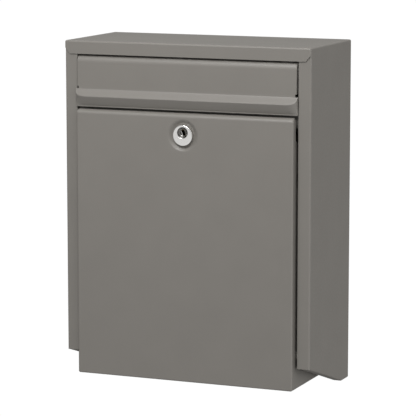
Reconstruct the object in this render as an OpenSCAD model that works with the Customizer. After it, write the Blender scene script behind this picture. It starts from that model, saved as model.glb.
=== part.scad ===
// Wall letterbox of folded, powder-coated sheet steel.
// A casing hangs on the wall. A letter flap closes its mouth, and below the
// flap a deep hopper tilts forward on two pins once its cam lock is turned.
// Frame: X to the viewer's right, Y into the wall, Z up. The origin is the
// centre of the wall screw pattern, on the wall face of the back panel.

/* [Casing] */
// Width of the casing
casing_w = 280; // [270:1:300]
// Depth from the wall to the face of the roof lip
casing_d = 125; // [120:1:150]
// Height from the roof to the rear bottom edge
casing_h = 370; // [355:1:400]
// Height of the lip folded down at the front of the roof
lip_h = 14.2; // [12:0.2:15]
// Width of the front stiles
stile_w = 14.2; // [12:0.2:15]
// Height by which the sides are shorter at the front than at the rear
side_rise = 33.5; // [25:0.5:40]
// Depth of the level stretch at the rear of the side bottoms
side_level = 20.5; // [15:0.5:30]
// Width of the flange turned in along the side bottoms
foot_flange = 9.4; // [7:0.1:11]

/* [Sheet] */
// Thickness of the steel sheet
sheet = 1.2; // [1:0.1:1.5]
// Outer radius of the plain folds
fold_r = 2.5; // [2:0.1:3]

/* [Flap] */
// Height of the pull ridge pressed along the foot of the flap
ridge_h = 18; // [15:0.2:19]
// How far the ridge stands in front of the stiles
ridge_out = 7.7; // [5:0.1:8]
// Outer radius of the rolled top of the flap
flap_roll_r = 9; // [8.6:0.2:9]
// How far the plain face of the flap stands in front of the stiles
flap_proud = 1.6; // [1:0.1:2]
// Gap between the flap and the stiles
flap_gap = 0.9; // [0.8:0.1:1.6]

/* [Hopper] */
// How far the hopper front stands in front of the stiles
hopper_proud = 8.2; // [6:0.2:9]
// Gap between the hopper and the stiles
hopper_gap = 2.2; // [1.8:0.1:2.4]
// Height of the slot seen between the flap and the hopper
shadow_slot = 2.4; // [2:0.1:3]
// Radius of the rolled top edge of the hopper front
hopper_roll_r = 5; // [4:0.5:6]
// How far the hopper reaches below the roof
hopper_foot = 360; // [350:0.1:361]
// Opening angle of the hopper in degrees
hopper_open = 38; // [30:1:40]

/* [Lock] */
// Diameter of the round lock face
lock_face_d = 22; // [21.6:0.2:22.4]
// Diameter of the plug bore
plug_d = 11.8; // [11.4:0.1:12]
// Height of the plug axis above the middle of the lock face
plug_offset = 2.9; // [2.5:0.1:3]
// Angle of the keyway from upright in degrees
key_angle = 24; // [0:1:45]

/* [Wall fixing] */
// Distance between the wall screws across the box
screw_span_x = 200; // [180:5:210]
// Distance between the wall screws up the box
screw_span_z = 240; // [220:5:250]
// Diameter of the wall screw holes
screw_hole_d = 6.5; // [5:0.5:8]

/* [Hidden] */
$fn = 64;

PAINT = "#86837d";
ZINC = "#b9bcbe";
CHROME = "#dcdcda";
BRASS = "#b89b57";
RUBBER = "#2b2b2b";
NYLON = "#e7e4da";

// overshoot of a cut past the face that it opens
cut = 1;
half_w = casing_w / 2;
top_z = casing_h / 2;
inner_w = half_w - sheet;
lip_face = -casing_d;
stile_face = lip_face + sheet;
opening = half_w - stile_w;
flap_w = opening - flap_gap;
hopper_w = opening - hopper_gap;
stile_return = 15;
return_end = stile_face + stile_return;
lip_corner_x = 6;
lip_corner_z = 5;

// roll of the flap, which turns about the middle of its own roll
flap_face = stile_face - flap_proud;
flap_axis_y = flap_face + flap_roll_r;
flap_axis_d = lip_h - 0.1 + flap_roll_r;
ridge_top = 51.2;
ridge_foot = ridge_top + ridge_h;
crest_d = 58.8;
crest_w = flap_w - 6;
ridge_w = opening + 0.9;
ridge_seat = stile_face - 0.5;
flap_foot = ridge_foot + 1;

// hopper
hopper_face = stile_face - hopper_proud;
hopper_top = flap_foot + shadow_slot;
hopper_axis_y = -114;
hopper_axis_d = 325;
hopper_rear = -14;
hopper_flange = 10;
floor_play = 0.4;
wing_top_rear = 205;
wing_top_front = 96;
wing_step = 8;
tab_h = 10;
tab_out = 6;
tab_gap = 0.5;
// the upper edge of the stop tab meets the stile return at the opening angle
tab_back = hopper_rear - 2 - hopper_axis_y;
tab_rise = (tab_back * cos(hopper_open) - (return_end - hopper_axis_y) - tab_gap)
           / sin(hopper_open) - tab_h / 2;

// pivot pins of the flap and the hopper
pin_r = 2;
pin_run = 0.05;
pin_head_r = 3.6;
pin_head_t = 1.4;
pin_tail = 2.4;
cap_t = 1.6;
bush_r = 4.4;
side_play = 0.3;

// rubber stops on the latch rail
bumper_r = 3.4;
flap_bumper_x = 100;
flap_bumper_d = 64;
flap_bumper_t = 6.4;
hopper_bumper_x = 90;
hopper_bumper_d = 77;
hopper_bumper_t = 4.9;

// latch rail across the mouth
rail_face = stile_face + 6;
rail_top = 60;
rail_foot = 84;
rail_top_flange = 12;
rail_low_flange = 4.4;

// lock
lock_d = 95.5;
face_proud = 1;
dimple_depth = 3.5;
dimple_r = 16.5;
dimple_seat_r = 12.2;
seat_y = hopper_face + dimple_depth;
face_y = hopper_face - face_proud;
barrel_r = 9.8;
barrel_flat = 8.4;
barrel_len = 18;
barrel_end = seat_y + barrel_len;
plug_d_level = lock_d - plug_offset;
plug_r = plug_d / 2 - 0.05;
plug_recess = 1.6;
cam_t = 2;
cam_len = 24;
cam_w = 13;
cam_hole = 7.2;
wafer_t = 0.8;
wafer_pitch = 2.6;
wafer_count = 5;

// height of a level given as its distance below the roof
function z_at(d) = top_z - d;

// block between two corners, each range as [low, high]
module block(x, y, z) {
    translate([x[0], y[0], z[0]]) cube([x[1] - x[0], y[1] - y[0], z[1] - z[0]]);
}

// the same block on the left and on the right
module pair_of_blocks(x, y, z) {
    block(x, y, z);
    block([-x[1], -x[0]], y, z);
}

// outline in the Y-Z plane, carried along X from x0 to x1
module along_x(x0, x1) {
    translate([x0, 0, 0]) rotate([90, 0, 90]) linear_extrude(x1 - x0) children();
}

// outline in the X-Z plane, carried along Y from y0 to y1
module along_y(y0, y1) {
    translate([0, y1, 0]) rotate([90, 0, 0]) linear_extrude(y1 - y0) children();
}

// ring or disc whose axis lies along Y, at height z
module disc_y(r, y0, y1, z) {
    translate([0, y1, z]) rotate([90, 0, 0]) cylinder(r = r, h = y1 - y0);
}

// cylinder whose axis lies along X, at depth y and height z
module disc_x(r, x0, x1, y, z) {
    translate([x0, y, z]) rotate([0, 90, 0]) cylinder(r = r, h = x1 - x0);
}

// rectangle with its two upper corners rounded
module arch(x0, x1, z0, z1, r) {
    translate([x0, z0]) square([x1 - x0, z1 - z0 - r]);
    translate([x0 + r, z1 - r - cut]) square([x1 - x0 - 2 * r, r + cut]);
    for (x = [x0 + r, x1 - r]) translate([x, z1 - r]) circle(r);
}

// rectangle with the upper front corner rounded, seen from the side
module side_arch(y0, y1, z0, z1, r) {
    translate([y0, z0]) square([y1 - y0, z1 - z0 - r]);
    translate([y0 + r, z1 - r - cut]) square([y1 - y0 - r, r + cut]);
    translate([y0 + r, z1 - r]) circle(r);
}

// ---------------------------------------------------------------- casing

// side view of the casing: the bottom edge falls towards the wall
module casing_side(r) {
    intersection() {
        side_arch(lip_face, 0, -top_z, top_z, r);
        polygon([[lip_face, z_at(casing_h - side_rise)], [lip_face, top_z],
                 [0, top_z], [0, -top_z], [-side_level, -top_z]]);
    }
}

// front view of the lip with its two lower corners cut off
module lip_outline() {
    polygon([[-half_w, top_z], [half_w, top_z],
             [half_w, z_at(lip_h - lip_corner_z)],
             [half_w - lip_corner_x, z_at(lip_h)],
             [lip_corner_x - half_w, z_at(lip_h)],
             [-half_w, z_at(lip_h - lip_corner_z)]]);
}

module casing_envelope() {
    intersection() {
        along_y(lip_face, 0) arch(-half_w, half_w, -top_z, top_z, fold_r);
        along_x(-half_w, half_w) casing_side(fold_r);
    }
}

module casing_hollow() {
    inner_r = fold_r - sheet;
    along_y(stile_face + sheet, cut)
        arch(-inner_w, inner_w, -top_z - cut, top_z - sheet, inner_r);
    along_y(stile_face, stile_face + sheet + cut)
        arch(-opening, opening, -top_z - cut, top_z - sheet, inner_r);
}

// flange turned in along the bottom edge of one side
module foot_flange_strip(x0, x1) {
    rise = sheet / cos(atan(side_rise / (casing_d - side_level)));
    along_x(x0, x1) difference() {
        casing_side(fold_r);
        translate([0, rise]) casing_side(fold_r);
        translate([lip_face - cut, -top_z - cut]) square([sheet + cut, casing_h + 2 * cut]);
        translate([-casing_d, 0]) square([casing_d + cut, casing_h]);
    }
}

module casing() {
    color(PAINT) difference() {
        union() {
            difference() {
                casing_envelope();
                casing_hollow();
                // the lip is a layer of its own in front of the stiles
                along_y(lip_face - cut, stile_face) difference() {
                    translate([-half_w - cut, -top_z - cut])
                        square([casing_w + 2 * cut, casing_h + cut]);
                    lip_outline();
                }
            }
            foot_flange_strip(half_w - foot_flange, inner_w + sheet / 2);
            foot_flange_strip(-inner_w - sheet / 2, foot_flange - half_w);
            pair_of_blocks([opening, opening + sheet], [stile_face, return_end],
                           [z_at(casing_h - side_rise), z_at(lip_h / 2)]);
        }
        pin_bores(flap_axis_y, flap_axis_d, pin_r + pin_run);
        pin_bores(hopper_axis_y, hopper_axis_d, pin_r + pin_run);
    }
}

// bores through both stile returns for a pair of pivot pins
module pin_bores(y, d, r) {
    for (x = [-opening - sheet - cut, opening - cut])
        disc_x(r, x, x + sheet + 2 * cut, y, z_at(d));
}

module back_panel() {
    foot = casing_h - 1.1 * sheet;
    flange = 10;
    flange_x = 128;
    flange_ends = [z_at(foot - 6), z_at(6)];
    color(PAINT) difference() {
        union() {
            along_y(-sheet, 0)
                arch(-inner_w, inner_w, z_at(foot), top_z - sheet, fold_r - sheet);
            pair_of_blocks([inner_w - sheet, inner_w], [-flange, -sheet / 2], flange_ends);
            block([-flange_x, flange_x], [-flange, -sheet / 2], [z_at(2 * sheet), z_at(sheet)]);
            block([-flange_x, flange_x], [-6, -sheet / 2], [z_at(foot), z_at(foot - sheet)]);
        }
        for (x = [-1, 1] * screw_span_x / 2, z = [-1, 1] * screw_span_z / 2)
            translate([x, 0, 0]) disc_y(screw_hole_d / 2, -sheet - cut, cut, z);
    }
}

// rail that ties the stiles together and catches the cam
module latch_rail() {
    z = [z_at(rail_foot), z_at(rail_top)];
    y = [rail_face, rail_face + sheet];
    flange_x = opening - sheet;
    color(PAINT) {
        block([-opening, opening], y, z);
        block([-flange_x, flange_x], [y[0], y[1] + rail_top_flange], [z[1] - sheet, z[1]]);
        block([-flange_x, flange_x], [y[0], y[1] + rail_low_flange], [z[0], z[0] + sheet]);
        pair_of_blocks([flange_x, opening], [y[0], y[1] + rail_low_flange], z);
    }
}

// ------------------------------------------------------------ pivot pins

// headed pin along +X through panel, bush and stile return
module pivot_pin(y, d, panel_w) {
    head_x = panel_w - sheet - side_play;
    head = [head_x - pin_head_t, head_x];
    color(ZINC) {
        disc_x(pin_head_r, head[0], head[1], y, z_at(d));
        disc_x(pin_r, head[1], opening + sheet + pin_tail, y, z_at(d));
    }
}

// nylon washer that fills the gap between a moving panel and the stile
module pivot_bush(y, d, panel_w) {
    x = [panel_w + side_play, opening];
    color(NYLON) difference() {
        disc_x(bush_r, x[0], x[1], y, z_at(d));
        disc_x(pin_r + 0.02, x[0] - cut, x[1] + cut, y, z_at(d));
    }
}

// pushed-on cap that holds a pin in the stile return
module pin_cap(y, d) {
    x = [opening + sheet, opening + sheet + cap_t];
    difference() {
        disc_x(bush_r, x[0], x[1], y, z_at(d));
        disc_x(pin_r + 0.02, x[0] - cut, x[1] + cut, y, z_at(d));
    }
}

module pin_caps() {
    color(ZINC) for (side = [0, 1]) mirror([side, 0, 0]) {
        pin_cap(flap_axis_y, flap_axis_d);
        pin_cap(hopper_axis_y, hopper_axis_d);
    }
}

// rubber stop on the front of the latch rail
module bumper(x, d, thick) {
    color(RUBBER) translate([x, 0, 0]) disc_y(bumper_r, rail_face - thick, rail_face, z_at(d));
}

// ------------------------------------------------------------------ flap

// pressed ridge with sloping faces and hipped ends, drawn in by inset
module ridge_body(inset, back_y) {
    base_w = inset == 0 ? ridge_w : flap_w - inset;
    tip_y = stile_face - ridge_out + inset * 1.3;
    hull() {
        block([-base_w, base_w], [flap_face + inset, back_y],
              [z_at(ridge_foot - inset * 0.6), z_at(ridge_top + inset * 0.6)]);
        block([-crest_w + inset, crest_w - inset], [tip_y, tip_y + 0.4],
              [z_at(crest_d + 0.7), z_at(crest_d - 0.7)]);
    }
}

module flap_bore(x) {
    disc_x(pin_r + pin_run, x - cut, x + sheet + cut, flap_axis_y, z_at(flap_axis_d));
}

module flap() {
    roll_in = flap_roll_r - sheet;
    axis_z = z_at(flap_axis_d);
    ear_foot = 46;
    ear_back = 5;
    color(PAINT) difference() {
        union() {
            // rolled top and plain panel
            along_x(-flap_w, flap_w) {
                intersection() {
                    difference() {
                        translate([flap_axis_y, axis_z]) circle(flap_roll_r);
                        translate([flap_axis_y, axis_z]) circle(roll_in);
                    }
                    translate([flap_face - cut, axis_z]) square(flap_roll_r + cut);
                }
                translate([flap_axis_y - 0.01, axis_z + roll_in]) square([6, sheet]);
                translate([flap_face, z_at(ridge_top + 1)])
                    square([sheet, ridge_top + 1 - flap_axis_d]);
            }
            // ears that carry the pins
            for (x = [-flap_w, flap_w - sheet]) along_x(x, x + sheet) {
                intersection() {
                    translate([flap_axis_y, axis_z]) circle(roll_in + sheet / 2);
                    translate([flap_face, axis_z]) square(flap_roll_r);
                }
                translate([flap_face + sheet / 2, z_at(ear_foot)])
                    square([flap_axis_y + ear_back - flap_face - sheet / 2,
                            ear_foot - flap_axis_d]);
                translate([flap_axis_y - 0.01, axis_z - 0.01])
                    square([ear_back, flap_roll_r - sheet / 2]);
            }
            difference() {
                ridge_body(0, ridge_seat);
                ridge_body(sheet, stile_face + cut);
            }
            block([-flap_w, flap_w], [ridge_seat - sheet, ridge_seat],
                  [z_at(flap_foot), z_at(ridge_foot - sheet)]);
        }
        flap_bore(-flap_w);
        flap_bore(flap_w - sheet);
    }
}

// ---------------------------------------------------------------- hopper

// plan of the front tray with rounded upright edges
module tray_plan(inset) {
    r = fold_r - inset;
    y0 = hopper_face + inset;
    w = hopper_w - inset;
    translate([-w, y0 + r]) square([2 * w, stile_face - y0 - r]);
    translate([-w + r, y0]) square([2 * (w - r), r + cut]);
    for (x = [-w + r, w - r]) translate([x, y0 + r]) circle(r);
}

module tray_body(inset, depth) {
    intersection() {
        translate([0, 0, z_at(hopper_foot) + inset])
            linear_extrude(hopper_foot - hopper_top - 2 * inset) tray_plan(inset);
        along_x(-hopper_w, hopper_w)
            side_arch(hopper_face + inset, hopper_face + depth,
                      z_at(hopper_foot), z_at(hopper_top) - inset, hopper_roll_r - inset);
    }
}

// pressed dish around the lock, as a sheet of revolution
module dimple() {
    translate([0, hopper_face, z_at(lock_d)]) rotate([-90, 0, 0]) rotate_extrude()
        polygon([[dimple_r, 0], [dimple_seat_r, dimple_depth], [0, dimple_depth],
                 [0, dimple_depth + sheet], [dimple_seat_r + 0.5, dimple_depth + sheet],
                 [dimple_r + 0.5, sheet], [dimple_r + 0.5, 0]]);
}

// side view of a wing: narrow beside the rail, deep below the lock
module wing_outline() {
    polygon([[hopper_face + fold_r, z_at(hopper_foot)],
             [hopper_face + fold_r, z_at(hopper_top + wing_step)],
             [stile_face, z_at(hopper_top + wing_step)],
             [stile_face, z_at(wing_top_front)],
             [stile_face + 1.5 * wing_step, z_at(wing_top_front + wing_step)],
             [hopper_rear - wing_step, z_at(wing_top_rear - wing_step)],
             [hopper_rear, z_at(wing_top_rear)],
             [hopper_rear, z_at(hopper_foot)]]);
}

// round hole with two flats that stops the lock from turning
module lock_hole(play, y0, y1) {
    intersection() {
        disc_y(barrel_r + play, y0, y1, z_at(lock_d));
        block([-barrel_flat - play, barrel_flat + play], [y0, y1],
              [z_at(lock_d + dimple_r), z_at(lock_d - dimple_r)]);
    }
}

module hopper_shell() {
    foot = z_at(hopper_foot);
    hem_y = stile_face - 0.8;
    tab_y = hopper_axis_y + tab_back;
    tab_z = z_at(hopper_axis_d) + tab_rise;
    color(PAINT) difference() {
        union() {
            difference() {
                tray_body(0, hopper_proud);
                tray_body(sheet, hopper_proud + cut);
                block([-hopper_w + hopper_flange, hopper_w - hopper_flange],
                      [hopper_face + hopper_flange, 0], [foot - cut, foot + 2 * sheet]);
                disc_y(dimple_r, hopper_face - cut, hopper_face + sheet + cut, z_at(lock_d));
            }
            dimple();
            // hem along the rear of the rolled top edge
            block([-hopper_w + sheet, hopper_w - sheet], [hem_y, hem_y + sheet],
                  [z_at(hopper_top + 8), z_at(hopper_top)]);
            block([-hopper_w, hopper_w], [hopper_face + hopper_proud - sheet, hem_y + sheet],
                  [z_at(hopper_top + sheet), z_at(hopper_top)]);
            for (x = [-hopper_w, hopper_w - sheet]) along_x(x, x + sheet) wing_outline();
            // flanges under the floor
            pair_of_blocks([hopper_w - hopper_flange, hopper_w],
                           [stile_face - cut, hopper_rear], [foot, foot + sheet]);
            // tabs that stop the hopper against the stile returns
            pair_of_blocks([hopper_w - sheet, hopper_w + tab_out],
                           [tab_y, tab_y + sheet], [tab_z - tab_h / 2, tab_z + tab_h / 2]);
        }
        lock_hole(0.1, hopper_face - cut, seat_y + 3 * sheet);
        for (x = [-hopper_w, hopper_w - sheet])
            disc_x(pin_r + pin_run, x - cut, x + sheet + cut, hopper_axis_y,
                   z_at(hopper_axis_d));
    }
}

// loose floor welded on the flanges, with upturned edges all round
module hopper_floor() {
    w = hopper_w - sheet - floor_play;
    y = [hopper_face + sheet + floor_play, hopper_rear + 1];
    z = [z_at(hopper_foot) + sheet, z_at(hopper_foot) + 2 * sheet];
    lip_z = z[1] + 10;
    color(PAINT) difference() {
        union() {
            block([-w, w], y, z);
            pair_of_blocks([w - sheet, w], y, [z[0], lip_z]);
            block([-w, w], [y[0], y[0] + sheet], [z[0], lip_z]);
            block([-w, w], [y[1] - sheet, y[1]], [z[0], lip_z + 4]);
        }
        for (x = [-90, 90], dy = [22, 95])
            translate([x, y[0] + dy, z[0] - cut]) cylinder(r = 2.5, h = sheet + 2 * cut);
    }
}

// ------------------------------------------------------------------ lock

// chromed body: round face with a rounded rim, then the threaded barrel
module lock_housing() {
    r = lock_face_d / 2;
    rim = 1;
    bore = plug_d / 2;
    color(CHROME) difference() {
        union() {
            translate([0, seat_y, z_at(lock_d)]) rotate([90, 0, 0]) rotate_extrude() {
                square([r, seat_y - face_y - rim]);
                square([r - rim, seat_y - face_y]);
                translate([r - rim, seat_y - face_y - rim]) circle(rim);
            }
            lock_hole(0, seat_y - cut, barrel_end);
        }
        disc_y(bore, face_y - cut, barrel_end + cut, z_at(plug_d_level));
    }
}

module lock_washer() {
    y = [seat_y + sheet, seat_y + sheet + 0.8];
    color(ZINC) difference() {
        disc_y(12.4, y[0], y[1], z_at(lock_d));
        disc_y(barrel_r + 0.2, y[0] - cut, y[1] + cut, z_at(lock_d));
    }
}

module lock_nut() {
    across_corners = 27.2;
    y = [seat_y + sheet + 0.8, seat_y + sheet + 4.2];
    color(ZINC) difference() {
        translate([0, y[1], z_at(lock_d)]) rotate([90, 0, 0])
            cylinder(d = across_corners, h = y[1] - y[0], $fn = 6);
        disc_y(barrel_r + 0.05, y[0] - cut, y[1] + cut, z_at(lock_d));
    }
}

// places children on the plug axis, turned with the keyway
module on_plug() {
    translate([0, 0, z_at(plug_d_level)]) rotate([0, -key_angle, 0]) children();
}

function wafer_y(i) = face_y + plug_recess + 4 + i * wafer_pitch;

module lock_plug() {
    front = face_y + plug_recess;
    tail = barrel_end + 0.2;
    keyway = [2.3, 8.6];
    color(BRASS) difference() {
        union() {
            on_plug() disc_y(plug_r, front, tail, 0);
            on_plug() block([-3.5, 3.5], [tail - cut, tail + cam_t], [-3.5, 3.5]);
        }
        on_plug() block([-keyway[0] / 2, keyway[0] / 2], [front - cut, tail - 5],
                        [-keyway[1] / 2 - 0.4, keyway[1] / 2 - 0.4]);
        for (i = [0 : wafer_count - 1]) on_plug()
            block([-2.8, 2.8], [wafer_y(i) - 0.1, wafer_y(i) + wafer_t + 0.1], [-plug_r, plug_r]);
        on_plug() disc_y(pin_r, tail - 4, tail + cam_t + cut, 0);
    }
}

// spring-loaded wafers that the key lines up, each with a key window
module lock_wafers() {
    half_h = plug_r - 0.7;
    color(BRASS) for (i = [0 : wafer_count - 1]) on_plug() difference() {
        block([-2.7, 2.7], [wafer_y(i), wafer_y(i) + wafer_t], [-half_h, half_h]);
        block([-1.3, 1.3], [wafer_y(i) - cut, wafer_y(i) + wafer_t + cut],
              [-3.2 + 0.3 * (i % 3), 2.8 + 0.3 * (i % 3)]);
    }
}

// lever that swings up behind the latch rail
module lock_cam() {
    y = [barrel_end + 0.2, barrel_end + 0.2 + cam_t];
    z = z_at(plug_d_level);
    color(ZINC) difference() {
        union() {
            disc_y(cam_w / 2, y[0], y[1], z);
            block([-cam_len, 0], y, [z - cam_w / 2, z + cam_w / 2]);
        }
        on_plug() block([-cam_hole / 2, cam_hole / 2], [y[0] - cut, y[1] + cut],
                        [-cam_hole / 2, cam_hole / 2]);
    }
}

module cam_washer() {
    y = [barrel_end + 0.2 + cam_t, barrel_end + 1 + cam_t];
    color(ZINC) on_plug() difference() {
        disc_y(5, y[0], y[1], 0);
        disc_y(pin_r + 0.2, y[0] - cut, y[1] + cut, 0);
    }
}

module cam_screw() {
    head_y = barrel_end + 1 + cam_t;
    color(ZINC) difference() {
        union() {
            on_plug() disc_y(pin_r - 0.05, barrel_end - 3, head_y, 0);
            on_plug() disc_y(3.8, head_y, head_y + 2.4, 0);
        }
        on_plug() block([-3, 3], [head_y + 1.2, head_y + 2.4 + cut], [-0.5, 0.5]);
        on_plug() block([-0.5, 0.5], [head_y + 1.2, head_y + 2.4 + cut], [-3, 3]);
    }
}

casing();
back_panel();
latch_rail();
mirror([1, 0, 0]) pivot_pin(flap_axis_y, flap_axis_d, flap_w);  // flap_pin_left
pivot_pin(flap_axis_y, flap_axis_d, flap_w);  // flap_pin_right
mirror([1, 0, 0]) pivot_bush(flap_axis_y, flap_axis_d, flap_w);  // flap_bush_left
pivot_bush(flap_axis_y, flap_axis_d, flap_w);  // flap_bush_right
mirror([1, 0, 0]) pivot_pin(hopper_axis_y, hopper_axis_d, hopper_w);  // hopper_pin_left
pivot_pin(hopper_axis_y, hopper_axis_d, hopper_w);  // hopper_pin_right
mirror([1, 0, 0]) pivot_bush(hopper_axis_y, hopper_axis_d, hopper_w);  // hopper_bush_left
pivot_bush(hopper_axis_y, hopper_axis_d, hopper_w);  // hopper_bush_right
pin_caps();
bumper(-flap_bumper_x, flap_bumper_d, flap_bumper_t);  // flap_bumper_left
bumper(flap_bumper_x, flap_bumper_d, flap_bumper_t);  // flap_bumper_right
bumper(-hopper_bumper_x, hopper_bumper_d, hopper_bumper_t);  // hopper_bumper_left
bumper(hopper_bumper_x, hopper_bumper_d, hopper_bumper_t);  // hopper_bumper_right
flap();
hopper_shell();
hopper_floor();
lock_housing();
lock_washer();
lock_nut();
lock_plug();
lock_wafers();
lock_cam();
cam_washer();
cam_screw();
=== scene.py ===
"""Looks of the wall letterbox: folded sheet pieces, lock, finishes, floor, light and camera."""

import math

import bmesh
import bpy
from mathutils import Matrix, Vector


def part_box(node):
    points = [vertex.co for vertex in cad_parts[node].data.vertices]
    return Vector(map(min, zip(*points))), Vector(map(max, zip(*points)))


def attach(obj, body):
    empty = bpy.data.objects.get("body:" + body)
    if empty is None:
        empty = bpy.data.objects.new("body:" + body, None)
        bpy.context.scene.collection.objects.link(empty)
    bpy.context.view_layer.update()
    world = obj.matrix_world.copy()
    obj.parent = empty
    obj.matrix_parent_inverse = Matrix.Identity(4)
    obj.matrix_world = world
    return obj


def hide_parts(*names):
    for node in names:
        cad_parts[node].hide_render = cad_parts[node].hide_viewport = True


MM = 0.001

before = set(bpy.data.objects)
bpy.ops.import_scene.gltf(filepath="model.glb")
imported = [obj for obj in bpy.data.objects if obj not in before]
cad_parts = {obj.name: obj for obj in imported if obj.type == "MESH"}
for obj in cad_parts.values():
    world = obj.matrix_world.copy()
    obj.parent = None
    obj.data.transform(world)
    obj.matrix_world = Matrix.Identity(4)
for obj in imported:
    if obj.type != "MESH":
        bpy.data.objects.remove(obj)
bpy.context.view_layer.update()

# ------------------------------------------------------------------ measures, in millimetres
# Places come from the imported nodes; the few sizes below are those of the sheet work.
SHEET = 1.2
FOLD_R = 1.9
STILE_FOLD_R = 2.0
EDGE_R = 0.16


def box_mm(node):
    lo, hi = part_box(node)
    return lo / MM, hi / MM


casing_lo, casing_hi = box_mm("casing")
flap_lo, flap_hi = box_mm("flap")
shell_lo, shell_hi = box_mm("hopper_shell")
pin_lo, pin_hi = box_mm("flap_pin_right")
rail_lo, rail_hi = box_mm("latch_rail")
housing_lo, housing_hi = box_mm("lock_housing")
plug_lo, plug_hi = box_mm("lock_plug")
cam_lo, cam_hi = box_mm("lock_cam")

HALF_W = casing_hi.x
TOP = casing_hi.z
LIP_Y = casing_lo.y
STILE_Y = LIP_Y + SHEET
OPENING = rail_hi.x
SIDE_PLAY = 0.3
FLAP_W = box_mm("flap_bush_right")[0].x - SIDE_PLAY
HOPPER_W = box_mm("hopper_bush_right")[0].x - SIDE_PLAY


def z_at(d):
    """Height of a level given as its distance below the roof."""
    return TOP - d


# ------------------------------------------------------------------ materials


class Nodes:
    """Short way to add and join shader nodes."""

    def __init__(self, name):
        self.mat = bpy.data.materials.new(name)
        self.mat.use_nodes = True
        self.tree = self.mat.node_tree
        self.shader = self.tree.nodes["Principled BSDF"]
        self.coord = self.add("ShaderNodeTexCoord").outputs["Object"]

    def add(self, kind, **values):
        node = self.tree.nodes.new(kind)
        for key, value in values.items():
            if hasattr(node, key):
                setattr(node, key, value)
            else:
                node.inputs[key.replace("_", " ")].default_value = value
        return node

    def link(self, a, b):
        self.tree.links.new(a, b)

    def noise(self, scale, detail=2.0, roughness=0.5, stretch=None):
        node = self.add("ShaderNodeTexNoise", Scale=scale, Detail=detail, Roughness=roughness)
        if stretch:
            mapping = self.add("ShaderNodeMapping")
            mapping.inputs["Scale"].default_value = stretch
            self.link(self.coord, mapping.inputs["Vector"])
            self.link(mapping.outputs["Vector"], node.inputs["Vector"])
        else:
            self.link(self.coord, node.inputs["Vector"])
        return node.outputs["Fac"]

    def spread(self, value, low, high):
        """Value from 0..1, most of it near a half, to low..high."""
        node = self.add("ShaderNodeMapRange")
        node.inputs["From Min"].default_value = 0.25
        node.inputs["From Max"].default_value = 0.75
        node.inputs["To Min"].default_value = low
        node.inputs["To Max"].default_value = high
        self.link(value, node.inputs["Value"])
        return node.outputs["Result"]

    def mix(self, value, dark, light):
        node = self.add("ShaderNodeMix", data_type="RGBA")
        node.inputs["A"].default_value = (*dark, 1)
        node.inputs["B"].default_value = (*light, 1)
        for socket in node.inputs:
            if socket.name == "A" and socket.type == "RGBA":
                socket.default_value = (*dark, 1)
            if socket.name == "B" and socket.type == "RGBA":
                socket.default_value = (*light, 1)
        self.link(value, node.inputs["Factor"])
        return [o for o in node.outputs if o.type == "RGBA"][0]

    def bumps(self, *layers):
        """Chain of bump layers, each (height, distance in metres, strength)."""
        normal = None
        for height, distance, strength in layers:
            bump = self.add("ShaderNodeBump", Distance=distance, Strength=strength)
            self.link(height, bump.inputs["Height"])
            if normal:
                self.link(normal, bump.inputs["Normal"])
            normal = bump.outputs["Normal"]
        self.link(normal, self.shader.inputs["Normal"])

    def set(self, **values):
        for key, value in values.items():
            self.shader.inputs[key.replace("_", " ")].default_value = value


def tint(color, k):
    return tuple(c * k for c in color)


def powder_coat():
    """Matt warm-grey powder coat: fine orange peel, slight unevenness of tone and gloss."""
    paint = (0.171, 0.1605, 0.145)
    m = Nodes("powder_coat")
    tone = m.spread(m.noise(28, 3), 0, 1)
    m.link(m.mix(tone, tint(paint, 0.975), tint(paint, 1.025)), m.shader.inputs["Base Color"])
    m.link(m.spread(m.noise(420, 3, 0.6), 0.40, 0.50), m.shader.inputs["Roughness"])
    peel = m.noise(650, 2, 0.45)
    grain = m.noise(2600, 2, 0.5)
    sway = m.noise(9, 1)
    m.bumps((sway, 0.0006, 0.06), (peel, 0.00006, 0.22), (grain, 0.00002, 0.15))
    m.set(Specular_IOR_Level=0.5)
    return m.mat


def plated(name, color, rough, spot=0.05, brushed=None):
    """Plated metal with faint clouding and fine marks."""
    m = Nodes(name)
    cloud = m.spread(m.noise(160, 4, 0.6), 0, 1)
    m.link(m.mix(cloud, tint(color, 1 - spot), tint(color, 1 + spot)), m.shader.inputs["Base Color"])
    m.link(m.spread(m.noise(700, 3, 0.6), rough[0], rough[1]), m.shader.inputs["Roughness"])
    fine = m.noise(1800, 2, 0.5, stretch=brushed)
    m.bumps((fine, 0.00001, 0.12))
    m.set(Metallic=1.0)
    return m.mat


def rubber():
    m = Nodes("black_rubber")
    m.link(m.mix(m.noise(900, 3), (0.016, 0.016, 0.016), (0.03, 0.03, 0.029)),
           m.shader.inputs["Base Color"])
    m.link(m.spread(m.noise(500, 2), 0.6, 0.8), m.shader.inputs["Roughness"])
    m.bumps((m.noise(2200, 3, 0.6), 0.00004, 0.3))
    return m.mat


def nylon():
    m = Nodes("natural_nylon")
    m.link(m.mix(m.noise(300, 3), (0.70, 0.68, 0.61), (0.78, 0.76, 0.69)),
           m.shader.inputs["Base Color"])
    m.link(m.spread(m.noise(800, 2), 0.42, 0.55), m.shader.inputs["Roughness"])
    m.bumps((m.noise(1500, 2), 0.00003, 0.2))
    return m.mat


PAINT = powder_coat()
ZINC = plated("bright_zinc", (0.66, 0.68, 0.70), (0.26, 0.42), 0.08)
CHROME = plated("lock_chrome", (0.80, 0.79, 0.77), (0.08, 0.14), 0.02)
# Plug metal: its base colour is set far darker than plated nickel as painted shade, standing in for the
# shade and dark reflections deep in the lock's bore.
PLUG_DARK_METAL = plated("plug_metal_painted_shade", (0.17, 0.166, 0.158), (0.10, 0.22), 0.10)
BRASS = plated("wafer_brass", (0.62, 0.47, 0.24), (0.22, 0.36), 0.06)
RUBBER = rubber()
NYLON = nylon()

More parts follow.
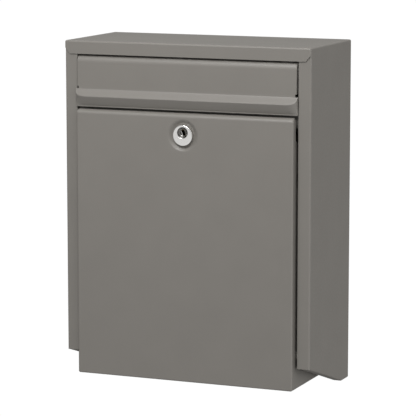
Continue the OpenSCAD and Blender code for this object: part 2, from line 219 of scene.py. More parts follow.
NODE_FINISH = {
    "back_panel": PAINT,
    "latch_rail": PAINT,
    "hopper_floor": PAINT,
    "flap_pin_left": ZINC,
    "flap_pin_right": ZINC,
    "hopper_pin_left": ZINC,
    "hopper_pin_right": ZINC,
    "pin_caps": ZINC,
    "lock_washer": ZINC,
    "lock_nut": ZINC,
    "lock_cam": ZINC,
    "cam_washer": ZINC,
    "cam_screw": ZINC,
    "flap_bush_left": NYLON,
    "flap_bush_right": NYLON,
    "hopper_bush_left": NYLON,
    "hopper_bush_right": NYLON,
    "flap_bumper_left": RUBBER,
    "flap_bumper_right": RUBBER,
    "hopper_bumper_left": RUBBER,
    "hopper_bumper_right": RUBBER,
    "lock_wafers": BRASS,
}

for node, finish in NODE_FINISH.items():
    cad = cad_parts[node]
    for place in cad.material_slots:
        place.material = finish

# ------------------------------------------------------------------ mesh helpers


def add_face(bm, points):
    """Face through points in millimetres."""
    return bm.faces.new([bm.verts.new(Vector(p) * MM) for p in points])


def weld(bm, distance=0.002):
    bmesh.ops.remove_doubles(bm, verts=bm.verts, dist=distance * MM)


def fold_edges(bm, radius, segments, keep):
    """Rounds the shared edges whose middle, in millimetres, passes keep(middle, edge)."""
    bmesh.ops.recalc_face_normals(bm, faces=bm.faces)
    chosen = [e for e in bm.edges if len(e.link_faces) == 2
              and keep((e.verts[0].co + e.verts[1].co) / 2 / MM, e)]
    bmesh.ops.bevel(bm, geom=chosen, offset=radius * MM, offset_type="OFFSET",
                    segments=segments, profile=0.5, affect="EDGES", clamp_overlap=False)


def face_out(bm, towards):
    """Turns all the faces so that the one farthest along towards looks that way."""
    bmesh.ops.recalc_face_normals(bm, faces=bm.faces)
    direction = Vector(towards)
    far = max(bm.faces, key=lambda f: f.calc_center_median().dot(direction)
              + 0.01 * abs(f.normal.dot(direction)))
    if far.normal.dot(direction) < 0:
        bmesh.ops.reverse_faces(bm, faces=bm.faces)


def join(bm, other):
    mesh = bpy.data.meshes.new("part")
    other.to_mesh(mesh)
    other.free()
    bm.from_mesh(mesh)
    bpy.data.meshes.remove(mesh)


def distinct_normals(vert):
    """Normals of the faces round a vertex, near-equal ones merged."""
    found = []
    for face in vert.link_faces:
        if face.calc_area() < 1e-13:
            continue
        for i, (n, weight) in enumerate(found):
            if n.dot(face.normal) > 0.985:
                found[i] = ((n * weight + face.normal).normalized(), weight + 1)
                break
        else:
            found.append((face.normal.copy(), 1))
    return [n for n, _ in found]


def inward(vert, thickness):
    """Step from a vertex to the inner skin, the same distance behind every face that meets there."""
    normals = distinct_normals(vert)
    rows = Matrix(((0.0,) * 3,) * 3)
    aim = Vector((0, 0, 0))
    for n in normals:
        for i in range(3):
            for j in range(3):
                rows[i][j] += n[i] * n[j]
        aim += n
    for i in range(3):
        rows[i][i] += 0.002
    step = rows.inverted() @ aim * thickness
    longest = 1.9 * thickness
    if step.length > longest:
        step *= longest / step.length
    return -step


def thicken(bm, thickness):
    """Gives an open skin its sheet thickness: inner skin behind it, strips along its cut edges."""
    bm.normal_update()
    bm.verts.index_update()
    outer = list(bm.verts)
    skin = list(bm.faces)
    rim = [e for e in bm.edges if len(e.link_faces) == 1]
    inner = {v: bm.verts.new(v.co + inward(v, thickness * MM)) for v in outer}
    strips = []
    for e in rim:
        loop = e.link_loops[0]
        a, b = loop.vert, loop.link_loop_next.vert
        strips.append((b, a, inner[a], inner[b]))
    for face in skin:
        bm.faces.new([inner[v] for v in reversed(face.verts)])
    for strip in strips:
        bm.faces.new(strip)
    bm.normal_update()


def bake(obj):
    """Applies the object's modifiers."""
    bpy.context.view_layer.update()
    shaped = bpy.data.meshes.new_from_object(
        obj.evaluated_get(bpy.context.evaluated_depsgraph_get()))
    old = obj.data
    obj.modifiers.clear()
    obj.data = shaped
    bpy.data.meshes.remove(old)


def piece(name, bm, material, body, replaces=(), thickness=None, edge=EDGE_R):
    """Object from a bmesh: sheets get their thickness, cut edges a small rounding."""
    if thickness:
        thicken(bm, thickness)
    mesh = bpy.data.meshes.new(name)
    bm.to_mesh(mesh)
    bm.free()
    mesh.materials.append(material)
    obj = bpy.data.objects.new(name, mesh)
    bpy.context.scene.collection.objects.link(obj)
    mesh.shade_smooth()
    if edge:
        soften = obj.modifiers.new("edges", "BEVEL")
        soften.width = edge * MM
        soften.segments = 2
        soften.limit_method = "ANGLE"
        soften.angle_limit = math.radians(50)
        soften.use_clamp_overlap = True
        soften.miter_outer = "MITER_ARC"
        bake(obj)
    obj.data.shade_smooth()
    obj.data.set_sharp_from_angle(angle=math.radians(48))
    weigh = obj.modifiers.new("normals", "WEIGHTED_NORMAL")
    weigh.keep_sharp = True
    weigh.weight = 60
    bake(obj)
    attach(obj, body)
    if replaces:
        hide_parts(*replaces)
    return obj


def bridge_rows(bm, rows, skip=None):
    """Quads between rows of vertices; skip(i, j) leaves a quad out."""
    for i in range(len(rows) - 1):
        for j in range(len(rows[i]) - 1):
            if skip and skip(i, j):
                continue
            loop = []
            for v in (rows[i][j], rows[i][j + 1], rows[i + 1][j + 1], rows[i + 1][j]):
                if v not in loop:
                    loop.append(v)
            if len(loop) > 2:
                bm.faces.new(loop)


def ring_skin(bm, rings):
    """Quads between closed rings of equal count."""
    made = [[bm.verts.new(Vector(p) * MM) for p in ring] for ring in rings]
    count = len(made[0])
    for a, b in zip(made, made[1:]):
        for k in range(count):
            bm.faces.new((a[k], a[(k + 1) % count], b[(k + 1) % count], b[k]))
    return made


def circle(radius, y, centre_z, count=96, limit_x=None):
    """Ring of points around a Y axis; limit_x cuts flats on both sides."""
    points = []
    for k in range(count):
        a = 2 * math.pi * k / count
        x = radius * math.sin(a)
        if limit_x:
            x = max(-limit_x, min(limit_x, x))
        points.append((x, y, centre_z + radius * math.cos(a)))
    return points


def arc(cy, cd, r, a0, a1, count):
    """Points (y, d) on an arc; 0 degrees looks to the front and 90 up to the roof."""
    points = []
    for k in range(count + 1):
        a = math.radians(a0 + (a1 - a0) * k / count)
        points.append((cy - r * math.cos(a), cd - r * math.sin(a)))
    return points


# ------------------------------------------------------------------ casing

LIP_H = 14.2
LIP_CUT = (6.0, 6.8)
FOOT_LEVEL = 20.5
FOOT_RISE = 33.5
FOOT_FLANGE = 9.4
STILE_RETURN = 15.0


def foot_z(y):
    """Height of the slanting bottom edge of the casing at depth y."""
    t = (y + FOOT_LEVEL) / (LIP_Y + FOOT_LEVEL)
    return casing_lo.z + FOOT_RISE * max(0.0, t)


def make_casing():
    seam = z_at(LIP_H - LIP_CUT[1])
    foot = z_at(LIP_H)
    hood = bmesh.new()
    w = HALF_W
    add_face(hood, [(-w, LIP_Y, TOP), (w, LIP_Y, TOP), (w, 0, TOP), (-w, 0, TOP)])
    add_face(hood, [(-w, LIP_Y, TOP), (-w, LIP_Y, seam), (LIP_CUT[0] - w, LIP_Y, foot),
                    (w - LIP_CUT[0], LIP_Y, foot), (w, LIP_Y, seam), (w, LIP_Y, TOP)])
    for s in (-1, 1):
        add_face(hood, [(s * w, LIP_Y, TOP), (s * w, LIP_Y, seam), (s * w, 0, seam), (s * w, 0, TOP)])
    weld(hood)
    fold_edges(hood, FOLD_R, 6, lambda mid, e: True)
    for s in (-1, 1):
        for e in list(hood.edges):
            a, b = (v.co / MM for v in e.verts)
            if (abs(a.x - s * w) < 0.01 and abs(b.x - s * w) < 0.01 and abs(a.z - seam) < 0.01
                    and abs(b.z - seam) < 0.01 and abs(a.y - b.y) > 50):
                front, back = (e.verts[0], e.verts[1]) if a.y < b.y else (e.verts[1], e.verts[0])
                share = (STILE_Y + STILE_FOLD_R - front.co.y / MM) / ((back.co.y - front.co.y) / MM)
                bmesh.utils.edge_split(e, front, share)
                break

    body = bmesh.new()
    back_y = STILE_Y + STILE_RETURN
    flange_y = STILE_Y + STILE_FOLD_R + 0.4
    for s in (-1, 1):
        x = s * w
        add_face(body, [(x, STILE_Y, foot_z(STILE_Y)), (x, STILE_Y, seam), (x, 0, seam),
                        (x, 0, casing_lo.z), (x, -FOOT_LEVEL, casing_lo.z),
                        (x, flange_y, foot_z(flange_y))])
        add_face(body, [(x, STILE_Y, foot_z(STILE_Y)), (x, STILE_Y, seam),
                        (s * OPENING, STILE_Y, seam), (s * OPENING, STILE_Y, foot_z(STILE_Y))])
        add_face(body, [(s * OPENING, STILE_Y, foot_z(STILE_Y)), (s * OPENING, STILE_Y, seam),
                        (s * OPENING, back_y, seam), (s * OPENING, back_y, foot_z(STILE_Y))])
        inner = s * (w - FOOT_FLANGE)
        add_face(body, [(x, flange_y, foot_z(flange_y)), (x, -FOOT_LEVEL, casing_lo.z),
                        (inner, -FOOT_LEVEL, casing_lo.z), (inner, flange_y, foot_z(flange_y))])
        add_face(body, [(x, -FOOT_LEVEL, casing_lo.z), (x, 0, casing_lo.z),
                        (inner, 0, casing_lo.z), (inner, -FOOT_LEVEL, casing_lo.z)])
    weld(body)

    def upright(mid, e):
        return abs(e.verts[0].co.z - e.verts[1].co.z) > 100 * MM

    def under(mid, e):
        return abs(abs(mid.x) - w) < 0.1 and mid.z < z_at(300)

    fold_edges(body, STILE_FOLD_R, 5, lambda mid, e: upright(mid, e) and abs(mid.x) > w - 1)
    fold_edges(body, 1.1, 4, lambda mid, e: upright(mid, e) and abs(abs(mid.x) - OPENING) < 0.5
               and abs(mid.y - STILE_Y) < 0.5)
    fold_edges(body, 1.4, 4, lambda mid, e: under(mid, e) and not upright(mid, e))
    join(hood, body)
    weld(hood, 0.01)
    joint = [e for e in hood.edges if len(e.link_faces) == 2
             and all(abs(v.co.z / MM - seam) < 0.01 for v in e.verts)
             and all(abs(abs(v.co.x / MM) - w) < 0.01 for v in e.verts)]
    bmesh.ops.dissolve_edges(hood, edges=joint, use_verts=False)
    face_out(hood, (0, 0, 1))
    # upper ends of the stiles, behind the lip
    for s in (-1, 1):
        post = bmesh.new()
        top = TOP - SHEET - 0.1
        add_face(post, [(s * OPENING, back_y, seam - 3), (s * OPENING, STILE_Y, seam - 3),
                        (s * OPENING, STILE_Y, top), (s * OPENING, back_y, top)])
        add_face(post, [(s * OPENING, STILE_Y, seam - 3), (s * (w - SHEET - 2), STILE_Y, seam - 3),
                        (s * (w - SHEET - 2), STILE_Y, top), (s * OPENING, STILE_Y, top)])
        weld(post)
        fold_edges(post, 1.1, 4, lambda mid, e: True)
        face_out(post, (0, -1, 0))
        for v in post.verts:
            v.co.y += 0.02 * MM
            v.co.x += s * 0.02 * MM
        join(hood, post)
    return piece("casing_sheet", hood, PAINT, "cabinet", ["casing"], SHEET)


# ------------------------------------------------------------------ flap

ROLL_R = 9.0
FLAP_FOLD_R = 0.5
EAR_FOOT = 46.0
RIDGE_TOP = 51.2
CREST_D = 58.8
RETURN_D = 69.2
SLIDE = 0.28
FLAP_Y = (pin_lo.y + pin_hi.y) / 2 - ROLL_R
RIDGE_OUT = FLAP_Y - flap_lo.y
RETURN_OUT = 0.1
RIDGE_W = flap_hi.x - SLIDE - 0.1
RIDGE_END = 12.0
NOTCH = (48.3, 51.1, 1.5)
END_RETURN = 1.1


def soft_positive(t, k):
    return (t + math.sqrt(t * t + k * k)) / 2


def soft_min(a, b, k):
    h = max(0.0, k - abs(a - b)) / k
    return min(a, b) - h * h * k / 4


def ridge_height(x, d):
    """How far the pressed ridge stands in front of the plain face of the flap."""
    rise = RIDGE_OUT / (CREST_D - RIDGE_TOP)
    above = soft_positive(rise * (d - RIDGE_TOP - 0.1), 0.6)
    if d < RETURN_D:
        below = RETURN_OUT + (RIDGE_OUT - RETURN_OUT) * (RETURN_D - d) / (RETURN_D - CREST_D)
    else:
        below = RETURN_OUT
    v = min(1.0, max(0.0, (RIDGE_W - abs(x)) / RIDGE_END))
    end = math.sqrt(1 - (1 - v) ** 2)
    return soft_min(above, 0.05 + (below - 0.05) * end, 0.9)


def make_flap():
    bm = bmesh.new()
    top_d = TOP - flap_hi.z
    axis_d = top_d + ROLL_R
    axis_y = FLAP_Y + ROLL_R
    # profile rows: (y, d, normal y, normal d, kind)
    rows = [(flap_hi.y, top_d, 0, -1, "ear")]
    for k in range(13):
        a = math.radians(90 - 90 * k / 12)
        rows.append((axis_y - ROLL_R * math.cos(a), axis_d - ROLL_R * math.sin(a),
                     -math.cos(a), -math.sin(a), "ear"))
    for d in (30, 38, EAR_FOOT):
        rows.append((FLAP_Y, d, -1, 0, "ear"))
    rows.append((FLAP_Y, EAR_FOOT + 0.05, -1, 0, "plain"))
    rows.append((FLAP_Y, NOTCH[0], -1, 0, "plain"))
    rows.append((FLAP_Y, NOTCH[0] + 0.02, -1, 0, "notch"))
    rows.append((FLAP_Y, 49.4, -1, 0, "notch"))
    rows.append((FLAP_Y, NOTCH[1] - 0.02, -1, 0, "notch"))
    d = NOTCH[1]
    while d < RETURN_D - 0.2:
        rows.append((FLAP_Y, d, -1, 0, "ridge"))
        d += 0.3 if abs(d - CREST_D) < 1.2 else 0.45
    rows.append((FLAP_Y, RETURN_D - 0.15, -1, 0, "ridge"))
    rows.append((FLAP_Y, RETURN_D + 0.15, -1, 0, "ridge"))
    rows.append((FLAP_Y, TOP - flap_lo.z, -1, 0, "ridge"))

    inner = FLAP_W - NOTCH[2] - 0.3
    plain_x = [0, 25, 50, 75, 95, 105, 109, 111] + [113 + 0.6 * k for k in range(int((inner - 113) / 0.6))]
    plain_x.append(inner)
    steps = 10
    grid = []
    for y, d, ny, nd, kind in rows:
        line = []
        for x in plain_x:
            out = ridge_height(x, d) if d > 47 else 0.0
            line.append((x, y - out, d))
        for k in range(1, steps + 1):
            f = k / steps
            if kind == "ear":
                a = math.radians(90 * f)
                x = FLAP_W - FLAP_FOLD_R + FLAP_FOLD_R * math.sin(a)
                inset = FLAP_FOLD_R * (1 - math.cos(a))
                line.append((x, y - ny * inset, d - nd * inset))
            else:
                far = {"plain": FLAP_W, "notch": FLAP_W - NOTCH[2], "ridge": RIDGE_W}[kind]
                if kind == "ridge":
                    f = 1 - (1 - f) ** 1.7
                x = inner + (far - inner) * f
                out = ridge_height(x, d) if kind == "ridge" else (ridge_height(inner, d) if d > 47 else 0)
                if kind == "ridge" and k == steps:
                    out = -END_RETURN
                line.append((x, y - out, d))
        full = [(-x, yy, dd) for x, yy, dd in reversed(line[1:])] + line
        grid.append([bm.verts.new(Vector((x - SLIDE, yy, z_at(dd))) * MM) for x, yy, dd in full])
    bridge_rows(bm, grid)
    # ears, welded to the rounded ends of the panel
    ear_rows = [i for i, r in enumerate(rows) if r[4] == "ear"]
    for end in (0, -1):
        loop = [grid[i][end] for i in ear_rows]
        x = loop[0].co.x
        back = axis_y + 5
        loop.append(bm.verts.new(Vector((x, back * MM, z_at(EAR_FOOT) * MM))))
        loop.append(bm.verts.new(Vector((x, back * MM, z_at(top_d + 4) * MM))))
        bm.faces.new(loop)
    weld(bm)
    face_out(bm, (0, -1, 0))
    return piece("flap_sheet", bm, PAINT, "letter_flap", ["flap"], SHEET)


# ------------------------------------------------------------------ hopper

HOPPER_R = 1.8
HOPPER_ROLL_R = 5.0
HOPPER_FLANGE = 10.0
DISH_R = 16.5
SEAT_R = 12.2
DISH_DEPTH = 3.5
LOCK_Z = (housing_lo.z + housing_hi.z) / 2
FACE_Y = housing_lo.y
HOPPER_Y = shell_lo.y
SEAT_Y = HOPPER_Y + DISH_DEPTH


def dish_profile():
    """Radius and depth down the pressed dish, with soft edges."""
    points = []
    for k in range(25):
        t = k / 24
        r = DISH_R + 0.6 - t * (DISH_R + 0.6 - 10.4)
        slope = DISH_DEPTH / (DISH_R - SEAT_R)
        fall = soft_positive(slope * (DISH_R - r), 0.6)
        fall = soft_min(fall, DISH_DEPTH, 1.6)
        points.append((r, max(0.0, fall - (0.045 if k == 0 else 0))))
    points[0] = (points[0][0], 0.0)
    return points


def make_hopper():
    bm = bmesh.new()
    top_d = TOP - shell_hi.z
    foot_d = TOP - shell_lo.z
    roll_d = top_d + HOPPER_ROLL_R
    hem_y = STILE_Y + 0.4
    half = DISH_R + 1.2
    lock_d = TOP - LOCK_Z
    rows = [(hem_y, top_d + 8, 1, 0, "hem"), (hem_y, top_d + 1.0, 1, 0, "hem")]
    for y, d in arc(hem_y - 1.0, top_d + 1.0, 1.0, 180, 90, 4)[1:]:
        rows.append((y, d, 0, -1, "hem"))
    rows.append((HOPPER_Y + HOPPER_ROLL_R, top_d, 0, -1, "side"))
    for k in range(1, 12):
        a = math.radians(90 - 90 * k / 12)
        rows.append((HOPPER_Y + HOPPER_ROLL_R * (1 - math.cos(a)), roll_d - HOPPER_ROLL_R * math.sin(a),
                     -math.cos(a), -math.sin(a), "side"))
    rows.append((HOPPER_Y, lock_d - half, -1, 0, "side"))
    dish_first = len(rows) - 1
    rows.append((HOPPER_Y, lock_d + half, -1, 0, "side"))
    for d in (160, 220, 280, 330):
        rows.append((HOPPER_Y, d, -1, 0, "side"))
    for k in range(6):
        a = math.radians(-90 * k / 5)
        rows.append((HOPPER_Y + HOPPER_R * (1 - math.cos(a)), foot_d - HOPPER_R - HOPPER_R * math.sin(a),
                     -math.cos(a), -math.sin(a), "side"))
    rows.append((HOPPER_Y + HOPPER_FLANGE, foot_d, 0, 1, "side"))

    steps = 6
    plain_x = [0, half, 50, 80, HOPPER_W - HOPPER_FLANGE, HOPPER_W - HOPPER_R]
    grid = []
    for y, d, ny, nd, kind in rows:
        line = [(x, y, d) for x in plain_x]
        for k in range(1, steps + 1):
            a = math.radians(90 * k / steps)
            if kind == "side":
                inset = HOPPER_R * (1 - math.cos(a))
                line.append((HOPPER_W - HOPPER_R + HOPPER_R * math.sin(a), y - ny * inset, d - nd * inset))
            else:
                line.append((HOPPER_W - HOPPER_R + 0.3 * k / steps, y, d))
        full = [(-x, yy, dd) for x, yy, dd in reversed(line[1:])] + line
        grid.append([bm.verts.new(Vector((x, yy, z_at(dd))) * MM) for x, yy, dd in full])
    centre = len(plain_x) + steps - 1
    bridge_rows(bm, grid, skip=lambda i, j: i == dish_first and centre - 1 <= j <= centre)

    # dish: from the square hole in the front to the seat of the lock
    count = 96
    profile = dish_profile()
    rings = []
    for r, fall in profile:
        rings.append([(r * math.sin(2 * math.pi * k / count), HOPPER_Y + fall,
                       LOCK_Z + r * math.cos(2 * math.pi * k / count)) for k in range(count)])
    made = ring_skin(bm, rings)
    outer = made[0]
    corners = {(-1, 1): None, (1, 1): None, (1, -1): None, (-1, -1): None}
    top_row, low_row = grid[dish_first], grid[dish_first + 1]
    square = {
        0: top_row[centre], 1: top_row[centre + 1], 3: low_row[centre + 1],
        4: low_row[centre], 5: low_row[centre - 1], 7: top_row[centre - 1],
    }
    eighth = count // 8
    for k in range(count):
        a, b = outer[k], outer[(k + 1) % count]
        sector = ((k + eighth // 1) % count) // (count // 4)
        # sector 0 looks up, 1 right, 2 down, 3 left
        pair = {0: (7, 0, 1), 1: (1, None, 3), 2: (3, 4, 5), 3: (5, None, 7)}[sector]
        within = (k + eighth) % (count // 4)
        if pair[1] is None:
            corner = square[pair[0]] if within < count // 8 else square[pair[2]]
            bm.faces.new((a, b, corner))
            if within == count // 8 - 1:
                bm.faces.new((b, square[pair[2]], square[pair[0]]))
        else:
            if within < count // 8:
                corner = square[pair[0]]
            else:
                corner = square[pair[2]]
            bm.faces.new((a, b, corner))
            if within == count // 8 - 1:
                bm.faces.new((b, square[pair[1]], square[pair[0]]))
                bm.faces.new((b, square[pair[2]], square[pair[1]]))

    # side plates, welded to the rounded ends, with their bottom flanges
    side_rows = [i for i, r in enumerate(rows) if r[4] == "side"]
    rear = shell_hi.y
    low_z = z_at(foot_d - HOPPER_R)
    for end in (0, -1):
        s = 1 if end == -1 else -1
        x = s * HOPPER_W
        loop = []
        for i in side_rows:
            v = grid[i][end]
            if not loop or (v.co - loop[-1].co).length > 0.01 * MM:
                loop.append(v)
        fold = []
        flange_row = grid[-1]
        span = range(len(flange_row) - 1 - steps - 1, len(flange_row)) if s > 0 else range(steps + 1, -1, -1)
        strip_front = [flange_row[j] for j in span]
        strip_rear = [bm.verts.new(Vector((v.co.x, rear * MM, v.co.z))) for v in strip_front]
        bridge_rows(bm, [strip_front, strip_rear])
        outline = [(rear, low_z), (rear, z_at(205)), (rear - 8, z_at(197)),
                   (STILE_Y + 12, z_at(104)), (STILE_Y, z_at(96)), (STILE_Y, z_at(top_d + HOPPER_R))]
        loop.append(strip_rear[-1])
        for y, z in outline[1:]:
            loop.append(bm.verts.new(Vector((x, y, z)) * MM))
        bm.faces.new(loop)
    weld(bm)
    bmesh.ops.triangulate(bm, faces=[f for f in bm.faces if len(f.verts) > 12])
    face_out(bm, (0, -1, 0))
    # tabs that stop the hopper against the stiles
    for s in (-1, 1):
        tab = bmesh.new()
        y = rear - 2
        z = TAB_Z
        add_face(tab, [(s * (HOPPER_W - 0.6), y, z - 5), (s * (HOPPER_W - 0.6), y, z + 5),
                       (s * (shell_hi.x - 1.5), y, z + 5), (s * shell_hi.x, y, z + 3.5),
                       (s * shell_hi.x, y, z - 3.5), (s * (shell_hi.x - 1.5), y, z - 5)])
        face_out(tab, (0, -1, 0))
        join(bm, tab)
    return piece("hopper_sheet", bm, PAINT, "hopper", ["hopper_shell"], SHEET)


HOPPER_AXIS = (-114.0, z_at(325.0))
OPEN_ANGLE = math.radians(38)
TAB_Z = HOPPER_AXIS[1] + (98 * math.cos(OPEN_ANGLE) - (STILE_Y + STILE_RETURN - HOPPER_AXIS[0])
                          - 0.5) / math.sin(OPEN_ANGLE) - 5

# ------------------------------------------------------------------ lock

PLUG_Z = (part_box("cam_washer")[0].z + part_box("cam_washer")[1].z) / 2 / MM
FACE_R = housing_hi.x
RIM_R = 0.7
BORE_R = 5.9
BARREL_R = 9.8
BARREL_FLAT = 8.4
KEY_ANGLE = math.radians(24)


def make_housing():
    bm = bmesh.new()
    rings = []
    bore = BORE_R + 0.02
    end = housing_hi.y
    # through the bore from the front edge to the rear end
    rings.append(circle(bore + 0.35, FACE_Y, PLUG_Z))
    rings.append(circle(bore + 0.1, FACE_Y + 0.1, PLUG_Z))
    rings.append(circle(bore, FACE_Y + 0.35, PLUG_Z))
    rings.append(circle(bore, end, PLUG_Z))
    rings.append(circle(BARREL_R - 0.8, end, LOCK_Z, limit_x=BARREL_FLAT - 0.4))
    y = end - 0.6
    while y > SEAT_Y + 1.6:
        rings.append(circle(BARREL_R, y, LOCK_Z, limit_x=BARREL_FLAT))
        rings.append(circle(BARREL_R, y - 0.25, LOCK_Z, limit_x=BARREL_FLAT))
        rings.append(circle(BARREL_R - 0.55, y - 0.65, LOCK_Z, limit_x=BARREL_FLAT))
        rings.append(circle(BARREL_R - 0.55, y - 0.8, LOCK_Z, limit_x=BARREL_FLAT))
        y -= 1.25
    rings.append(circle(BARREL_R - 0.1, SEAT_Y + 0.02, LOCK_Z, limit_x=BARREL_FLAT))
    rings.append(circle(FACE_R - 0.15, SEAT_Y + 0.02, LOCK_Z))
    rings.append(circle(FACE_R, SEAT_Y - 0.15, LOCK_Z))
    rings.append(circle(FACE_R, FACE_Y + RIM_R, LOCK_Z))
    for k in range(1, 8):
        a = math.radians(90 * k / 7)
        rings.append(circle(FACE_R - RIM_R * (1 - math.cos(a)), FACE_Y + RIM_R * (1 - math.sin(a)), LOCK_Z))
    made = ring_skin(bm, rings)
    last, first = made[-1], made[0]
    for k in range(len(last)):
        n = (k + 1) % len(last)
        bm.faces.new((last[k], last[n], first[n], first[k]))
    bmesh.ops.recalc_face_normals(bm, faces=bm.faces)
    return piece("lock_body", bm, CHROME, "hopper", ["lock_housing"], edge=None)


def keyway_point(k, count, grow, y):
    """Point of the rounded keyway outline that faces ring step k."""
    a = 2 * math.pi * k / count
    half_w, half_h, r = 1.15 + grow, 4.3 + grow, 0.7
    c, s = math.cos(a), math.sin(a)
    # ray from the centre to a rounded box
    reach = min(half_w / max(abs(s), 1e-6), half_h / max(abs(c), 1e-6))
    x, z = reach * s, reach * c
    cx, cz = max(-half_w + r, min(half_w - r, x)), max(-half_h + r, min(half_h - r, z))
    dx, dz = x - cx, z - cz
    dist = math.hypot(dx, dz)
    if dist > r:
        x, z = cx + dx / dist * r, cz + dz / dist * r
    z -= 0.4
    turn_c, turn_s = math.cos(KEY_ANGLE), math.sin(KEY_ANGLE)
    return (x * turn_c - z * turn_s, y, PLUG_Z + x * turn_s + z * turn_c)


def on_key(x, y, z):
    """Point given across and along the keyway, turned to the keyway's slant."""
    c, s = math.cos(KEY_ANGLE), math.sin(KEY_ANGLE)
    return (x * c - z * s, y, PLUG_Z + x * s + z * c)


def make_plug():
    bm = bmesh.new()
    count = 96
    front = plug_lo.y
    tail = cam_lo.y
    r = BORE_R - 0.05
    dish = front + 2.3
    rings = [
        [keyway_point(k, count, 0.0, tail - 5) for k in range(count)],
        [keyway_point(k, count, 0.0, dish + 0.5) for k in range(count)],
        [keyway_point(k, count, 0.12, dish + 0.1) for k in range(count)],
        [keyway_point(k, count, 0.35, dish - 0.1) for k in range(count)],
        circle(r - 2.2, dish - 0.65, PLUG_Z, count),
        circle(r - 1.5, dish - 1.1, PLUG_Z, count),
        circle(r - 1.1, dish - 1.5, PLUG_Z, count),
        circle(r - 0.8, front + 0.2, PLUG_Z, count),
        circle(r - 0.6, front, PLUG_Z, count),
        circle(r - 0.25, front, PLUG_Z, count),
        circle(r - 0.05, front + 0.1, PLUG_Z, count),
        circle(r, front + 0.35, PLUG_Z, count),
        circle(r, tail - 0.3, PLUG_Z, count),
        circle(r - 0.3, tail, PLUG_Z, count),
    ]
    square = []
    for k in range(count):
        a = 2 * math.pi * k / count
        c, s = math.cos(a), math.sin(a)
        reach = min(4.9, 3.5 / max(abs(s), abs(c)))
        square.append((reach * s, reach * c))
    rings.append([on_key(x, tail, z) for x, z in square])
    rings.append([on_key(x, plug_hi.y, z) for x, z in square])
    made = ring_skin(bm, rings)
    bm.faces.new(made[0])
    bm.faces.new(made[-1])
    bmesh.ops.recalc_face_normals(bm, faces=bm.faces)
    piece("lock_cylinder", bm, PLUG_DARK_METAL, "plug", ["lock_plug"], edge=None)

    # ward that stands in the face of the plug along one side of the keyway
    ward = bmesh.new()
    rows = []
    for x, y in ((-2.15, dish + 0.2), (-2.1, dish - 1.45), (-1.9, dish - 1.7), (-1.65, dish - 1.75),
                 (-1.4, dish - 1.6), (-1.3, dish - 1.3), (-1.28, dish + 0.2)):
        row = []
        for k in range(13):
            z = -4.2 + 7.2 * k / 12
            end = min(1.0, (3.6 - abs(z + 0.6)) / 0.8)
            sink = (1 - math.sqrt(max(0.0, 1 - (1 - end) ** 2))) * 0.7
            row.append(ward.verts.new(Vector(on_key(x, y + sink, z)) * MM))
        rows.append(row)
    bridge_rows(ward, rows)
    ward.faces.new([row[0] for row in rows])
    ward.faces.new([row[-1] for row in reversed(rows)])
    ward.faces.new(rows[0] + rows[-1][::-1])
    bmesh.ops.recalc_face_normals(ward, faces=ward.faces)
    return piece("keyway_ward", ward, CHROME, "plug", edge=None)


make_casing()
make_flap()
make_hopper()
make_housing()
make_plug()

# ------------------------------------------------------------------ floor, light and camera


def make_floor():
    bm = bmesh.new()
    z = (casing_lo.z - 430) * MM
    bm.faces.new([bm.verts.new((x, y, z)) for x, y in ((-40, -40), (40, -40), (40, 40), (-40, 40))])
    mesh = bpy.data.meshes.new("floor")
    bm.to_mesh(mesh)
    bm.free()
    mat = bpy.data.materials.new("pale_floor")
    mat.use_nodes = True
    tree = mat.node_tree
    tree.nodes.clear()
    glow = tree.nodes.new("ShaderNodeEmission")
    glow.inputs["Color"].default_value = (1, 1, 1, 1)
    glow.inputs["Strength"].default_value = 1.02
    out = tree.nodes.new("ShaderNodeOutputMaterial")
    tree.links.new(glow.outputs["Emission"], out.inputs["Surface"])
    mesh.materials.append(mat)
    floor = bpy.data.objects.new("floor", mesh)
    bpy.context.scene.collection.objects.link(floor)
    floor.visible_diffuse = False
    floor.visible_glossy = False


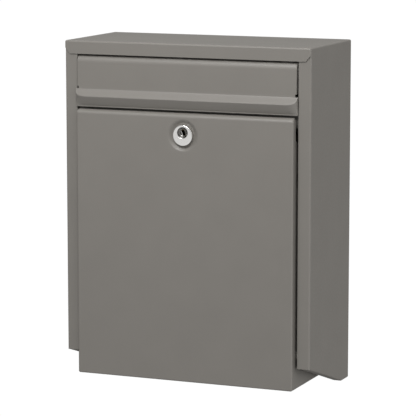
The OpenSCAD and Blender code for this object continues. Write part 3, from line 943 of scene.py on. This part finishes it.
def make_world(glows):
    """Soft surround: the sum of glows, each (direction, sharpness, strength)."""
    world = bpy.data.worlds.new("surround")
    bpy.context.scene.world = world
    world.use_nodes = True
    tree = world.node_tree
    tree.nodes.clear()
    coord = tree.nodes.new("ShaderNodeTexCoord")

    def step(operation, a, b):
        node = tree.nodes.new("ShaderNodeMath")
        node.operation = operation
        for place, value in zip(node.inputs, (a, b)):
            if isinstance(value, (int, float)):
                place.default_value = value
            else:
                tree.links.new(value, place)
        return node.outputs["Value"]

    total = 0.0
    for direction, sharpness, strength in glows:
        dot = tree.nodes.new("ShaderNodeVectorMath")
        dot.operation = "DOT_PRODUCT"
        tree.links.new(coord.outputs["Generated"], dot.inputs[0])
        dot.inputs[1].default_value = direction
        facing = step("MAXIMUM", dot.outputs["Value"], 0.0)
        total = step("ADD", step("MULTIPLY", step("POWER", facing, sharpness), strength), total)
    background = tree.nodes.new("ShaderNodeBackground")
    out = tree.nodes.new("ShaderNodeOutputWorld")
    tree.links.new(total, background.inputs["Color"])
    tree.links.new(background.outputs["Background"], out.inputs["Surface"])


def area_light(name, place, aim, size, watts, color=(1, 1, 1)):
    light = bpy.data.lights.new(name, "AREA")
    light.shape = "RECTANGLE"
    light.size, light.size_y = size
    light.energy = watts
    light.color = color
    obj = bpy.data.objects.new(name, light)
    obj.location = place
    obj.rotation_euler = (Vector(aim) - Vector(place)).to_track_quat("-Z", "Y").to_euler()
    obj.visible_camera = False
    bpy.context.scene.collection.objects.link(obj)


def make_camera():
    camera = bpy.data.cameras.new("camera")
    camera.lens = 202.3
    camera.sensor_width = 36.0
    camera.clip_end = 200
    obj = bpy.data.objects.new("camera", camera)
    obj.location = (0.9596, -2.3714, 0.3823)
    obj.rotation_euler = (math.radians(90 - 8.63), 0, math.radians(22.57))
    bpy.context.scene.collection.objects.link(obj)
    bpy.context.scene.camera = obj


GLOWS = [
    ((0, 0, 1), 1.0, 0.88),
    ((0, 0, -1), 1.0, 0.15),
    ((0, -0.7, -0.7), 4.0, 0.99),
    ((-1, 0, 0), 2.0, 0.24),
    ((1, 0, 0), 2.0, 1.22),
]
LIGHTS = [
    ("key", (0, -1.0, 1.05), (0, -0.1, 0.05), (0.8, 0.6), 15.2),
    ("low_left", (-0.96, -2.28, -0.28), (0, -0.13, 0.09), (0.9, 0.7), 0.9),
]

make_floor()
make_world(GLOWS)
for light in LIGHTS:
    area_light(*light)
make_camera()

settings = bpy.context.scene.view_settings
settings.view_transform = "Standard"
settings.look = "None"
